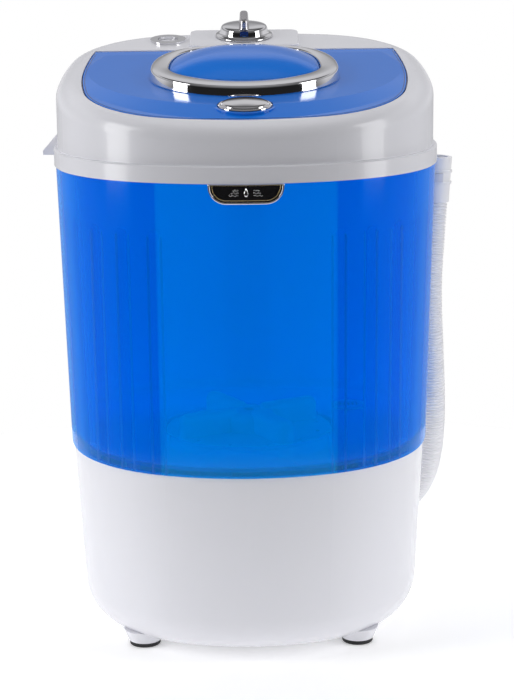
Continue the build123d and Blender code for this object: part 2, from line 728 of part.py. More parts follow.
def make_motor_bells():
    """Upper and lower end shields, each with a bearing boss and vent slots."""
    bells = []
    for low, high, face_low in ((150, MOTOR_TOP, 160), (MOTOR_BOTTOM, 132, MOTOR_BOTTOM)):
        bell = rod(MOTOR_RADIUS, low, high)
        cavity_low = low if face_low > low else low + 3
        cavity_high = face_low if face_low > low else high
        bell -= rod(MOTOR_RADIUS - 3, cavity_low, cavity_high)
        bell += rod(11, low + 2, high)
        bell -= rod(4 + RUNNING_GAP, low - 1, high + 1)
        for number in range(8):
            slot = Rot(0, 0, 45 * number) * block(18, 34, -3, 3, face_low - 1, face_low + 4)
            bell -= slot
        bells.append(Pos(MOTOR_X, 0) * bell)
    for x, y in motor_bolt_points():
        bells = [bell - rod(2.1, 100, 170, x, y) for bell in bells]
    return bells


def make_motor_stator():
    stack = tube(MOTOR_RADIUS - 0.5, 24, 132, 150)
    for number in range(12):
        stack -= Rot(0, 0, 30 * number) * rod(3.5, 130, 152, 31)
    stack = Pos(MOTOR_X, 0) * stack
    for x, y in motor_bolt_points():
        stack -= rod(2.1, 100, 170, x, y)
    return stack


def make_motor_windings():
    rings = []
    for low, high in ((150.0, 157.0), (125.0, 132.0)):
        ring = tube(36, 26, low, high)
        rings.append(Pos(MOTOR_X, 0) * fillet(ring.edges(), 2.4))
    return rings


def make_motor_rotor():
    rotor = rod(23.6, 133, 149) + rod(8, 133, 149) + rod(4, 92, 161)
    return Pos(MOTOR_X, 0) * rotor


def make_motor_pulley():
    groove = [(MOTOR_PULLEY_RADIUS - 7, 107), (MOTOR_PULLEY_RADIUS + 3, 101.5),
              (MOTOR_PULLEY_RADIUS + 3, 112.5)]
    groove_ring = revolve(Plane.XZ * make_face(Polyline(*groove, close=True)), Axis.Z)
    pulley = rod(MOTOR_PULLEY_RADIUS + 2, PULLEY_LOW, PULLEY_HIGH) - groove_ring
    return Pos(MOTOR_X, 0) * (pulley - rod(4, 90, 120))


def make_motor_fan():
    fan = tube(9, 4, 92, 99) + tube(30, 9, 92, 93.5)
    for number in range(8):
        fan += Rot(0, 0, 45 * number) * block(8.5, 29, -0.9, 0.9, 93, 99)
    return Pos(MOTOR_X, 0) * fan


def make_motor_bolts():
    bolt = Rot(180, 0, 0) * screw(2.1, 4, 3, 46.8)
    return [Pos(x, y, MOTOR_BOTTOM) * bolt for x, y in motor_bolt_points()]


def belt_face(grow):
    big = Circle(PULLEY_RADIUS + grow)
    small = Pos(MOTOR_X, 0) * Circle(MOTOR_PULLEY_RADIUS + grow)
    return make_hull(big.edges() + small.edges())


def make_drive_belt():
    return prism(belt_face(2) - belt_face(-1.5), 104.5, 109.5)


def make_capacitor():
    can = fillet(rod(18, 24, 76).edges().group_by(Axis.Z)[-1], 2)
    can += block(-5, -3, -4, 4, 76, 82) + block(3, 5, -4, 4, 76, 82)
    return Pos(*CAPACITOR_PLACE) * can


def make_capacitor_clamp():
    clamp = rod(20, BASE_BOTTOM, 40) + rod(26, BASE_BOTTOM, BASE_BOTTOM + 2)
    clamp -= rod(16, BASE_BOTTOM, 22) + rod(18, 24, 40)
    return Pos(*CAPACITOR_PLACE) * clamp


save(Compound(make_motor_bells()), "motor_end_bells")
save(make_motor_stator(), "motor_stator")
save(Compound(make_motor_windings()), "motor_windings")
save(make_motor_rotor(), "motor_rotor")
save(make_motor_pulley(), "motor_pulley")
save(make_motor_fan(), "motor_fan")
save(Compound(make_motor_bolts()), "motor_bolts")
save(make_drive_belt(), "drive_belt")
save(make_capacitor(), "capacitor")
save(make_capacitor_clamp(), "capacitor_clamp")


# ---- drain, hose and wiring ----------------------------------------------------------------
def make_drain_pipe():
    """Rubber pipe from the tub's drain spigot to the outlet fitting."""
    route = [(*FLOOR_DRAIN, 158), (*FLOOR_DRAIN, outlet_corner.Z), OUTLET_ROUTE[0]]
    return pipe(route, [20], 13, 10.6)


def make_drain_outlet():
    return pipe(OUTLET_ROUTE, [13], 10.5, 8)


def make_hose_nut():
    """Ring nut that clamps the hose on the outlet's mouth."""
    nut = tube(15.5, 10.5, -9, 0)
    for number in range(12):
        nut += Rot(0, 0, 30 * number) * block(15, 16.4, -1.2, 1.2, -8, -1)
    return Plane(origin=hose_start, z_dir=hose_first_run) * nut


def make_drain_hose():
    radii = run_radii(HOSE_ROUTE)
    hose = pipe(HOSE_ROUTE, radii, HOSE_RADIUS)
    path = FilletPolyline(*HOSE_ROUTE, radius=radii)
    print("hose radii", [round(radius) for radius in radii], "length", round(path.length, 1))
    print("hose volume over section x length", hose.volume / (math.pi * HOSE_RADIUS**2 * path.length))
    return hose


def make_hose_cuff():
    cuff = rod(14.2, 0, CUFF_LENGTH) - rod(10.5, 16, CUFF_LENGTH + 1)
    for low in (17.5, 28.4):
        cuff += tube(15.4, 13, low, low + 2.2)
    return CUFF * cuff


def make_wire_duct():
    """Cover down the tub's back for the leads between the timer and the motor."""
    shell = block(-DUCT_HALF, DUCT_HALF, 140, DUCT_BACK, DUCT_LOW, DUCT_TOP)
    shell = fillet(shell.edges().filter_by(Axis.Z).group_by(Axis.Y)[-1], 5)
    shell -= block(-DUCT_HALF + 2.5, DUCT_HALF - 2.5, 130, DUCT_BACK - 2.5,
                   DUCT_LOW + 2.5, DUCT_TOP - 2.5)
    keep_out = tub_outer + base_outer + prism(body_face(BAND_HALF), COLLAR_BOTTOM, BAND_TOP)
    return shell - keep_out - prism(body_face(COLLAR_HALF), BAND_TOP, DUCT_TOP + 1)


def make_wiring_harness():
    route = [(0, 142, 504), (0, 154, 492), (0, 154, 464), (0, 168.4, 448), (0, 168.4, 156),
             (0, 146, 130), (-20, 128, 124)]
    return pipe(route, [8, 8, 8, 12, 12], 2.4)


def make_cord_gland():
    """Grommet at the back of the base where the supply lead enters."""
    outside = GLAND * (rod(11, -2, 3) + rod(9, 3, 8)) - base_outer
    return outside + GLAND * rod(7, -8, 2) - GLAND * rod(4, -10, 10)


save(make_drain_pipe(), "drain_pipe")
save(make_drain_outlet(), "drain_outlet")
save(make_hose_nut(), "hose_nut")
save(make_drain_hose(), "drain_hose")
save(make_hose_cuff(), "hose_cuff")
save(make_wire_duct(), "wire_duct")
save(make_wiring_harness(), "wiring_harness")
save(make_cord_gland(), "cord_gland")
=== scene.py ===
import json
import math

import bmesh
import bpy
from mathutils import Matrix, Vector
from mathutils.bvhtree import BVHTree
from mathutils.geometry import interpolate_bezier


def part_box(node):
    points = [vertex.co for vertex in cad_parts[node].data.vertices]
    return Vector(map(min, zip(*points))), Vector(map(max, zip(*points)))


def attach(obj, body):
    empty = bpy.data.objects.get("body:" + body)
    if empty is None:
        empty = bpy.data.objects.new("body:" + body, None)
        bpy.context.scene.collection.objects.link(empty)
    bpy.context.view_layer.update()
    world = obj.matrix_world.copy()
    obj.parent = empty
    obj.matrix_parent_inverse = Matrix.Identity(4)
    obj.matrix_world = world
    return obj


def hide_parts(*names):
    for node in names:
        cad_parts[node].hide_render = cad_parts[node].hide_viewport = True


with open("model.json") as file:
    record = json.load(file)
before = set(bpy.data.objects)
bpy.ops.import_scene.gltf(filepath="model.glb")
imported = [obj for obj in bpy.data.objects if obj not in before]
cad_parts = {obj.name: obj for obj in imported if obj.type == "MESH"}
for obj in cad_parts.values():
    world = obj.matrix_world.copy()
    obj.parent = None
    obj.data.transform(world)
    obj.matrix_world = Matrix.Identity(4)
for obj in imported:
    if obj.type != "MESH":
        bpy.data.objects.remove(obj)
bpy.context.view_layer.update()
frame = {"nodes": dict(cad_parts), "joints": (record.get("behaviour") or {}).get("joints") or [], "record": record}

MM = 0.001
NODES = frame["nodes"]
JOINTS = {joint["name"]: joint for joint in frame["joints"]}

# Frame of the collar's sloping top: origin over the middle of the cabinet, Y to the back, Z out of it.
KNOB_Y = 124.0                  # the knob's axis in that frame, in mm
rim_out = -Vector(JOINTS["timer_turn"]["axis"])
rim_back = rim_out.cross(Vector((1, 0, 0)))
rim_origin = Vector(JOINTS["timer_turn"]["pos_m"]) - rim_back * KNOB_Y * MM
RIM = Matrix.Translation(rim_origin) @ Matrix((Vector((1, 0, 0)), rim_back, rim_out)).transposed().to_4x4()


def on_rim(x, y, z):
    """Point of the sloping top's frame, given in mm, in the row frame in metres."""
    return RIM @ (Vector((x, y, z)) * MM)


# ---- camera --------------------------------------------------------------------------------
SENSOR_WIDTH = 36.0
LENS = 99.96
CAMERA_PLACE = (-0.0002, -1.7673, 0.6483)
CAMERA_TURN = -0.28             # degrees about the upright
CAMERA_DOWN = 12.62             # degrees below level
CAMERA_ROLL = -0.64


def make_camera():
    data = bpy.data.cameras.new("camera")
    data.sensor_width = SENSOR_WIDTH
    data.lens = LENS
    data.clip_start = 0.01
    camera = bpy.data.objects.new("camera", data)
    bpy.context.scene.collection.objects.link(camera)
    turn = Matrix.Rotation(math.radians(CAMERA_TURN), 4, "Z")
    tilt = Matrix.Rotation(math.radians(90 - CAMERA_DOWN), 4, "X")
    roll = Matrix.Rotation(math.radians(CAMERA_ROLL), 4, "Z")
    camera.matrix_world = Matrix.Translation(CAMERA_PLACE) @ turn @ tilt @ roll
    bpy.context.scene.camera = camera


# ---- mesh helpers --------------------------------------------------------------------------
def new_piece(name, points, faces):
    """Smooth-shaded object from points and faces, with its normals outward."""
    mesh = bpy.data.meshes.new(name)
    mesh.from_pydata([tuple(point) for point in points], [], faces)
    fix = bmesh.new()
    fix.from_mesh(mesh)
    bmesh.ops.recalc_face_normals(fix, faces=fix.faces)
    fix.to_mesh(mesh)
    fix.free()
    mesh.shade_smooth()
    piece = bpy.data.objects.new(name, mesh)
    bpy.context.scene.collection.objects.link(piece)
    return piece


def skin(name, loops, around=False, cap_first=False, cap_last=False):
    """Mesh through loops of points, each loop closed and all of the same length.
    around also joins the last loop to the first."""
    count = len(loops[0])
    points = [point for loop in loops for point in loop]
    faces = []
    pairs = list(range(len(loops) - 1)) + ([-1] if around else [])
    for row in pairs:
        low = (row % len(loops)) * count
        high = ((row + 1) % len(loops)) * count
        for i in range(count):
            j = (i + 1) % count
            faces.append((low + i, low + j, high + j, high + i))
    if cap_first:
        faces.append(tuple(reversed(range(count))))
    if cap_last:
        faces.append(tuple(range((len(loops) - 1) * count, len(loops) * count)))
    piece = new_piece(name, points, faces)
    weighted = piece.modifiers.new("weighted", "WEIGHTED_NORMAL")
    weighted.keep_sharp = True
    return piece


def strip_mesh(name, rows):
    """Ribbon through rows of points that run along it, closed round its section and at both ends."""
    count = len(rows[0])
    faces = []
    for row in range(len(rows)):
        low = row * count
        high = ((row + 1) % len(rows)) * count
        for i in range(count - 1):
            faces.append((low + i, low + i + 1, high + i + 1, high + i))
    faces.append(tuple(row * count for row in range(len(rows))))
    faces.append(tuple(row * count + count - 1 for row in reversed(range(len(rows)))))
    return new_piece(name, [point for row in rows for point in row], faces)


def even_turns(sides):
    """Angles evenly round a circle."""
    return [2 * math.pi * side / sides for side in range(sides)]


def tree_of(node):
    """Ray-casting tree of a CAD node."""
    mesh = NODES[node].data
    return BVHTree.FromPolygons([v.co for v in mesh.vertices], [p.vertices for p in mesh.polygons])


def finish_piece(piece, body, slot, material, *nodes):
    piece.data.materials.append(material)
    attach(piece, body)
    if nodes:
        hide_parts(*nodes)
    return piece


# ---- material helpers ----------------------------------------------------------------------
class Nodes:
    """Short calls for building a material's node tree on the piece's own coordinates."""

    def __init__(self, name):
        self.material = bpy.data.materials.new(name)
        self.material.use_nodes = True
        self.tree = self.material.node_tree
        self.shader = self.tree.nodes["Principled BSDF"]
        self.output = self.tree.nodes["Material Output"]
        self.place = self.tree.nodes.new("ShaderNodeTexCoord").outputs["Object"]

    def link(self, source, target):
        self.tree.links.new(source, target)

    def noise(self, scale, detail=3.0, roughness=0.55, stretch=(1, 1, 1)):
        mapping = self.tree.nodes.new("ShaderNodeMapping")
        mapping.inputs["Scale"].default_value = stretch
        self.link(self.place, mapping.inputs["Vector"])
        texture = self.tree.nodes.new("ShaderNodeTexNoise")
        texture.inputs["Scale"].default_value = scale
        texture.inputs["Detail"].default_value = detail
        texture.inputs["Roughness"].default_value = roughness
        self.link(mapping.outputs["Vector"], texture.inputs["Vector"])
        return texture.outputs["Fac"]

    def spread(self, source, low, high, from_low=0.3, from_high=0.7):
        node = self.tree.nodes.new("ShaderNodeMapRange")
        node.inputs["From Min"].default_value = from_low
        node.inputs["From Max"].default_value = from_high
        node.inputs["To Min"].default_value = low
        node.inputs["To Max"].default_value = high
        self.link(source, node.inputs["Value"])
        return node.outputs["Result"]

    def blend(self, factor, first, second):
        node = self.tree.nodes.new("ShaderNodeMix")
        node.data_type = "RGBA"
        for end, colour in (("A", first), ("B", second)):
            if isinstance(colour, tuple):
                node.inputs[end].default_value = (*colour, 1)
            else:
                self.link(colour, node.inputs[end])
        self.link(factor, node.inputs["Factor"])
        return node.outputs["Result"]

    def bump(self, height, strength, distance):
        node = self.tree.nodes.new("ShaderNodeBump")
        node.inputs["Strength"].default_value = strength
        node.inputs["Distance"].default_value = distance
        self.link(height, node.inputs["Height"])
        self.link(node.outputs["Normal"], self.shader.inputs["Normal"])

    def axis(self, name):
        split = self.tree.nodes.new("ShaderNodeSeparateXYZ")
        self.link(self.place, split.inputs["Vector"])
        return split.outputs[name]

    def math(self, operation, first, second=None):
        node = self.tree.nodes.new("ShaderNodeMath")
        node.operation = operation
        self.link(first, node.inputs[0])
        if second is not None:
            self.link(second, node.inputs[1])
        return node.outputs["Value"]

    def see_through(self, share, tint):
        """Lets a share of the light through, coloured by tint. Both come from other nodes."""
        clear = self.tree.nodes.new("ShaderNodeBsdfTransparent")
        mix = self.tree.nodes.new("ShaderNodeMixShader")
        self.link(tint, clear.inputs["Color"])
        self.link(share, mix.inputs["Fac"])
        self.link(self.shader.outputs["BSDF"], mix.inputs[1])
        self.link(clear.outputs["BSDF"], mix.inputs[2])
        self.link(mix.outputs["Shader"], self.output.inputs["Surface"])


def plastic(name, light, dark, roughness, grain=0.15, coat=0.0, drift=9.0):
    """Moulded plastic: slow drift of colour, uneven gloss and a fine moulded grain."""
    nodes = Nodes(name)
    colour = nodes.blend(nodes.spread(nodes.noise(drift, 2), 0, 1, 0.15, 0.85), dark, light)
    nodes.link(colour, nodes.shader.inputs["Base Color"])
    gloss = nodes.spread(nodes.noise(35, 3), roughness * 0.94, roughness * 1.06, 0.1, 0.9)
    nodes.link(gloss, nodes.shader.inputs["Roughness"])
    nodes.shader.inputs["IOR"].default_value = 1.45
    nodes.shader.inputs["Coat Weight"].default_value = coat
    nodes.shader.inputs["Coat Roughness"].default_value = 0.04
    nodes.bump(nodes.noise(900, 2), grain, 0.00008)
    return nodes


def metal(name, light, dark, roughness, stretch=(1, 1, 1), scale=120.0, grain=0.1):
    """Metal with a drift of colour and fine marks drawn out along stretch."""
    nodes = Nodes(name)
    colour = nodes.blend(nodes.spread(nodes.noise(14, 3), 0, 1), dark, light)
    nodes.link(colour, nodes.shader.inputs["Base Color"])
    nodes.shader.inputs["Metallic"].default_value = 1.0
    marks = nodes.noise(scale, 4, 0.6, stretch)
    nodes.link(nodes.spread(marks, roughness * 0.8, roughness * 1.4), nodes.shader.inputs["Roughness"])
    nodes.bump(marks, grain, 0.00005)
    return nodes


def make_materials():
    made = {
        "white_plastic": plastic(
            "white_plastic", (0.82, 0.82, 0.865), (0.81, 0.81, 0.857), 0.26, 0.03, 0.3
        ),
        "lid_blue_plastic": plastic(
            "lid_blue_plastic", (0.010, 0.195, 0.79), (0.008, 0.185, 0.75), 0.14, 0.02, 0.0
        ),
        "chrome_plating": metal("chrome_plating", (0.86, 0.85, 0.86), (0.80, 0.80, 0.82), 0.05),
        "black_plastic": plastic(
            "black_plastic", (0.012, 0.012, 0.013), (0.008, 0.008, 0.009), 0.22, 0.1, 0.3
        ),
        "dark_blue_plastic": plastic(
            "dark_blue_plastic", (0.012, 0.035, 0.16), (0.008, 0.02, 0.10), 0.2, 0.05, 0.5
        ),
        "pulsator_plastic": plastic(
            "pulsator_plastic", (0.72, 0.86, 0.96), (0.66, 0.82, 0.94), 0.3, 0.12, 0.2
        ),
        "grey_plastic": plastic(
            "grey_plastic", (0.30, 0.31, 0.33), (0.24, 0.25, 0.27), 0.5, 0.4
        ),
        "hose_plastic": plastic(
            "hose_plastic", (0.93, 0.93, 0.95), (0.89, 0.89, 0.92), 0.38, 0.2
        ),
        "black_rubber": plastic(
            "black_rubber", (0.028, 0.028, 0.03), (0.018, 0.018, 0.02), 0.65, 0.8, 0.0, 30.0
        ),
        "steel": metal("steel", (0.66, 0.66, 0.68), (0.52, 0.52, 0.55), 0.3, (1, 1, 9), 200.0, 0.3),
        "cast_aluminium": metal(
            "cast_aluminium", (0.68, 0.69, 0.71), (0.58, 0.59, 0.61), 0.42, (1, 1, 1), 400.0, 0.6
        ),
        "bronze": metal("bronze", (0.62, 0.42, 0.2), (0.5, 0.32, 0.14), 0.3, (1, 1, 12), 300.0, 0.2),
        "winding_enamel": metal(
            "winding_enamel", (0.62, 0.26, 0.1), (0.42, 0.15, 0.05), 0.35, (1, 1, 30), 150.0, 0.8
        ),
    }
    made["blue_clear_plastic"] = tub_plastic()
    return {slot: nodes.material for slot, nodes in made.items()}


# The tub's first wash ribs: their turn from the front, in degrees, and size, as in the CAD.
RIB_FIRST_TURN = 80.0 * 180 / 510
RIB_TURN_STEP = 31.5 * 180 / 510
RIB_RADIUS = 6.0
RIB_TOP = 0.3845                # where the rib lines fade out, in metres
RIB_CHECK_HEIGHT = 0.3          # where the wall is measured
TUB_WALL = 3.0
RIB_SHADE_LINES = ((0.8, 1.0), (0.7, 1.0), (0.6, 0.8))    # how dark the painted shade is along each rib's inner and outer edge
RIB_SHADE_HALF = 1.1
RIB_REACH = 170.0
PANEL_EDGE = 0.0765             # half the width of the smooth front panel
FRONT_SHARE = 0.74              # of the light that each face of the wall lets through
BACK_SHARE = 0.2


def rib_edge_shade_lines():
    """Each rib edge's distance from the middle in mm, found on the tub's wall, with the darkness of the painted
    shade line along it.
    The inner edge is the rib's round side, and the outer one is where it runs into the wall."""
    tree = tree_of("tub")

    def wall(turn):
        outward = Vector((math.sin(turn), -math.cos(turn), 0))
        hit = tree.ray_cast(outward + Vector((0, 0, RIB_CHECK_HEIGHT)), -outward)[0]
        return Vector((hit.x, hit.y, 0)) / MM - outward * TUB_WALL

    painted_rib_shade = []
    for number, (inner, outer) in enumerate(RIB_SHADE_LINES):
        turn = math.radians(RIB_FIRST_TURN + RIB_TURN_STEP * number)
        centre = wall(turn)
        along = (wall(turn + 0.02) - wall(turn - 0.02)).normalized()
        painted_rib_shade += [(centre.x - RIB_RADIUS, inner), (centre.x + RIB_RADIUS * along.x, outer)]
    return painted_rib_shade


def rib_shade_line_mask(nodes):
    """Where painted shade goes: 1 along the edges of the first wash ribs in the tub's front, fading to 0 beside
    them.
    """
    ramp = nodes.tree.nodes.new("ShaderNodeValToRGB")
    elements = ramp.color_ramp.elements
    elements[0].color = elements[1].color = (0, 0, 0, 1)
    for edge, level in rib_edge_shade_lines():
        for position, grey in ((edge - RIB_SHADE_HALF, 0), (edge, level), (edge + RIB_SHADE_HALF, 0)):
            element = elements.new(position / RIB_REACH)
            element.color = (grey, grey, grey, 1)
    sideways = nodes.math("ABSOLUTE", nodes.axis("X"))
    nodes.link(nodes.spread(sideways, 0, 1, 0, RIB_REACH * MM), ramp.inputs["Fac"])
    below_top = nodes.spread(nodes.axis("Z"), 1, 0, RIB_TOP - 0.0015, RIB_TOP + 0.0015)
    in_front = nodes.spread(nodes.axis("Y"), 1, 0, -0.03, 0.0)
    return nodes.math("MULTIPLY", ramp.outputs["Color"], nodes.math("MULTIPLY", below_top, in_front))


def panel_mask(nodes):
    """1 on the tub's smooth front panel, between the first ribs, and 0 elsewhere."""
    sideways = nodes.math("ABSOLUTE", nodes.axis("X"))
    between = nodes.spread(sideways, 1.0, 0.0, PANEL_EDGE - 0.001, PANEL_EDGE + 0.001)
    in_front = nodes.spread(nodes.axis("Y"), 1.0, 0.0, -0.03, 0.03)
    return nodes.math("MULTIPLY", between, in_front)


def tub_plastic():
    """See-through blue. The front panel gets a lighter tint and a brighter painted glow, rib edges get painted
    shade lines, and the wall seen edge-on and the back of the tub let less light through. The glow is painted
    light that stands for light scattered in the tub."""
    nodes = plastic("blue_clear_plastic", (0.0, 0.40, 0.92), (0.0, 0.37, 0.88), 0.1, 0.02, 0.2)
    panel = panel_mask(nodes)
    # Painted shade along the rib edges: it lets less light through and darkens the glow and the base colour.
    painted_rib_shade = rib_shade_line_mask(nodes)
    from_front_to_back = nodes.spread(nodes.axis("Y"), FRONT_SHARE, BACK_SHARE, 0.02, 0.09)
    edge = nodes.tree.nodes.new("ShaderNodeLayerWeight")
    edge_on = nodes.spread(edge.outputs["Facing"], 1.0, 0.45, 0.45, 1.0)
    passing = nodes.math("MULTIPLY", from_front_to_back, edge_on)
    share = nodes.math("MULTIPLY", passing, nodes.spread(painted_rib_shade, 1.0, 0.45, 0, 1))
    nodes.see_through(share, nodes.blend(panel, (0.02, 0.62, 0.97), (0.03, 0.76, 1.0)))
    # Painted glow standing for light scattered in the tub, brighter on the front panel and darker along the rib
    # edges.
    painted_glow = nodes.blend(panel, (0.0, 0.032, 0.175), (0.0, 0.118, 0.235))
    painted_glow = nodes.blend(painted_rib_shade, painted_glow, (0.0, 0.0, 0.03))
    nodes.link(painted_glow, nodes.shader.inputs["Emission Color"])
    nodes.shader.inputs["Emission Strength"].default_value = 1.0
    moulded = nodes.shader.inputs["Base Color"].links[0].from_socket
    # Painted shade: darker base colour along the rib edges.
    nodes.link(nodes.blend(painted_rib_shade, moulded, (0.0, 0.12, 0.6)), nodes.shader.inputs["Base Color"])
    return nodes


def paint_nodes(materials):
    """Every CAD node that still shows gets the procedural material of its own slot."""
    slots = {part["node"]: part["material_slot"] for part in frame["record"]["subparts"]}
    for name, node in NODES.items():
        material = materials[slots[name]]
        if not node.material_slots:
            node.data.materials.append(material)
        for slot in node.material_slots:
            slot.material = material


# ---- drain hose ----------------------------------------------------------------------------
HOSE_ROUTE = [
    (0.118, 0.150, 0.041), (0.146, 0.145, 0.053), (0.168, 0.132, 0.074),
    (0.180, 0.116, 0.108), (0.183, 0.104, 0.160), (0.180, 0.097, 0.222),
    (0.176, 0.092, 0.292), (0.179, 0.090, 0.345), (0.181, 0.090, 0.378),
]
HOSE_RADIUS = 0.013
CORRUGATION_PITCH = 0.0031
CORRUGATION_DEPTH = 0.0016
RINGS_PER_WAVE = 6              # loops of points to each corrugation
HOSE_SIDES = 40


def route_points():
    """Points along the route's smooth line."""
    line = bpy.data.curves.new("hose_line", "CURVE")
    line.dimensions = "3D"
    line.resolution_u = 30
    spline = line.splines.new("NURBS")
    spline.points.add(len(HOSE_ROUTE) - 1)
    for point, place in zip(spline.points, HOSE_ROUTE):
        point.co = (*place, 1)
    spline.order_u = 3
    spline.use_endpoint_u = True
    holder = bpy.data.objects.new("hose_line", line)
    mesh = bpy.data.meshes.new_from_object(holder)
    points = [vertex.co.copy() for vertex in mesh.vertices]
    bpy.data.objects.remove(holder)
    bpy.data.meshes.remove(mesh)
    bpy.data.curves.remove(line)
    return points


def at_distance(points, distance):
    """Place and direction at a distance along a row of points."""
    for start, end in zip(points, points[1:]):
        step = (end - start).length
        if distance <= step or end is points[-1]:
            return start + (end - start) * (distance / step), (end - start).normalized()
        distance -= step


def make_hose(material):
    """Corrugated tube along the route."""
    points = route_points()
    length = sum((b - a).length for a, b in zip(points, points[1:]))
    rings = round(length / CORRUGATION_PITCH) * RINGS_PER_WAVE
    across = Vector((0, 1, 0))
    loops = []
    for ring in range(rings + 1):
        centre, along = at_distance(points, length * ring / rings)
        across = (across - along * across.dot(along)).normalized()
        other = along.cross(across)
        phase = 2 * math.pi * ring / RINGS_PER_WAVE
        radius = HOSE_RADIUS - CORRUGATION_DEPTH * (0.5 - 0.5 * math.cos(phase)) ** 1.5
        loops.append([
            centre + (across * math.cos(turn) + other * math.sin(turn)) * radius
            for turn in even_turns(HOSE_SIDES)
        ])
    hose = skin("corrugated_hose", loops, cap_first=True, cap_last=True)
    finish_piece(hose, "cabinet", "hose_plastic", material, "drain_hose")


# ---- lid pieces ----------------------------------------------------------------------------
RING_Y = -22.0                  # where the ring is widest, in mm on the sloping top
RING_TOP = 12.0
DOME_TOP = 23.0
CREST_Y = -119.0                # the lid's highest line, at the front
CREST_TOP = 4.0
HINGE_END_Y = 70.0
OVAL_STEPS = 40                 # points to each quarter of an oval
RING_OUTER = (85.0, -92.0, (61.0, 43.0), 61.0)      # half width, front, rounded back corner, back
RING_INNER = (67.5, -67.0, (50.0, 36.0), 50.0)
RIM_BEAD = 1.6                  # round of the ring's inner edge, where the crown meets it


def ring_outline(half, front_y, corner, back_y):
    """Closed outline: half an ellipse in front, and sides that close in towards the back.
    The side's handles make the middle of its curve pass through the corner."""
    front = RING_Y - front_y
    side_handle = (8 * corner[1] - 4 * RING_Y - 4 * back_y) / 3
    back_handle = (8 * corner[0] - 4 * half) / 3
    front_half = []
    for step in range(-2 * OVAL_STEPS, 0):
        turn = math.pi * step / (2 * OVAL_STEPS)
        front_half.append(Vector((half * math.cos(turn), RING_Y + front * math.sin(turn), 0)))
    side = Vector((half, RING_Y, 0))
    end = Vector((0, back_y, 0))
    right = interpolate_bezier(
        side, side + Vector((0, side_handle, 0)), end + Vector((back_handle, 0, 0)), end, OVAL_STEPS + 1
    )
    left = [Vector((-point.x, point.y, 0)) for point in reversed(right)]
    return front_half + right[:-1] + left[:-1]


def lid_surface(y):
    """Height of the lid's top over the sloping plane."""
    return CREST_TOP * (HINGE_END_Y - y) / (HINGE_END_Y - CREST_Y)


def quarter_round(inset, z, radius, steps=6):
    """Quarter circle round a centre at inset and z: pairs of inset and height, from its side up."""
    turns = [math.pi / 2 * step / steps for step in range(steps + 1)]
    return [(inset - radius * math.cos(turn), z + radius * math.sin(turn)) for turn in turns]


def make_ring(material):
    """Polished ring round the dome: drafted outer wall, crowned top, rounded inner edge."""
    outer = ring_outline(*RING_OUTER)
    inner = ring_outline(*RING_INNER)
    from_outer = [(0.0, None), (0.2, 4.0), (0.7, 7.0), (1.25, 10.0), (1.5, 10.8), (1.9, 11.4)]
    from_outer += [(2.5, 11.8), (3.3, 12.0), (5.0, RING_TOP + 0.15)]
    from_inner = [(RIM_BEAD + 2.0, RING_TOP + 0.1)]
    from_inner += reversed(quarter_round(RIM_BEAD, RING_TOP - RIM_BEAD, RIM_BEAD))
    from_inner += [(0.0, 6.0), (0.0, None)]
    loops = []
    for inset, z in from_outer:
        loops.append([
            on_rim(*(a + (b - a).normalized() * inset).xy, lid_surface(a.y) - 0.8 if z is None else z)
            for a, b in zip(outer, inner)
        ])
    loops.append([on_rim(*((a + b) / 2).xy, RING_TOP + 0.35) for a, b in zip(outer, inner)])
    for inset, z in from_inner:
        loops.append([
            on_rim(*(b + (a - b).normalized() * inset).xy, lid_surface(b.y) - 0.8 if z is None else z)
            for a, b in zip(outer, inner)
        ])
    ring = skin("chrome_ring", loops, around=True)
    return finish_piece(ring, "lid", "chrome_plating", material, "lid_ring")


def make_dome(material):
    """Shallow crown that fills the ring, with a rounded shoulder and a 2.5 mm wall."""
    outline = ring_outline(*RING_INNER)
    middle = Vector((0, (RING_INNER[1] + RING_INNER[3]) / 2, 0))
    edge_z = RING_TOP - RIM_BEAD
    steps = 24

    def loop(share, inset, drop):
        z = edge_z + (DOME_TOP - edge_z) * (1 - share**2.7) - drop
        scaled = [middle + (point - middle) * (share * (1 - inset)) for point in outline]
        return [on_rim(point.x, point.y, z) for point in scaled]

    outside = [loop(share / steps, 0.003, 0) for share in range(1, steps + 1)]
    skirt = [[on_rim(*(middle + (point - middle) * 0.997).xy, 5) for point in outline]]
    skirt += [[on_rim(*(middle + (point - middle) * 0.965).xy, 5) for point in outline]]
    inside = [loop(share / steps, 0.03, 2.5) for share in range(steps, 0, -1)]
    dome = skin("lid_dome_shell", outside + skirt + inside, cap_first=True, cap_last=True)
    return finish_piece(dome, "lid", "lid_blue_plastic", material, "lid_dome")


BUTTON_Y = -118.0
BUTTON_HALF = 23.2
BUTTON_HALF_DEPTH = 20.2
ROUND_SIDES = 96                # points round the button, the knob and the floor


def make_button(material):
    """Oval push button: skirt, stepped flange, groove and domed top."""
    profile = [(0.88, -1.2), (1.0, -1.2), (1.0, 3.4)]
    profile += [(1.0 - 0.045 * (1 - math.cos(a)), 3.4 + 1.2 * math.sin(a)) for a in (0.4, 0.8, 1.2, 1.57)]
    profile += [(0.90, 4.65), (0.885, 4.3), (0.87, 4.3), (0.862, 4.9), (0.85, 5.6), (0.81, 6.1)]
    profile += [(share, 6.1 + 1.5 * (1 - (share / 0.81) ** 2)) for share in (0.7, 0.55, 0.4, 0.25, 0.1)]
    loops = []
    for share, z in profile:
        a = BUTTON_HALF * share
        b = BUTTON_HALF_DEPTH * share
        turns = even_turns(ROUND_SIDES)
        loops.append([on_rim(a * math.cos(t), BUTTON_Y + b * math.sin(t), z) for t in turns])
    button = skin("push_button", loops, cap_first=True, cap_last=True)
    return finish_piece(button, "button", "chrome_plating", material, "latch_button")


GRIP_HALF_LENGTH = 21.0
GRIP_END_RADIUS = 4.2


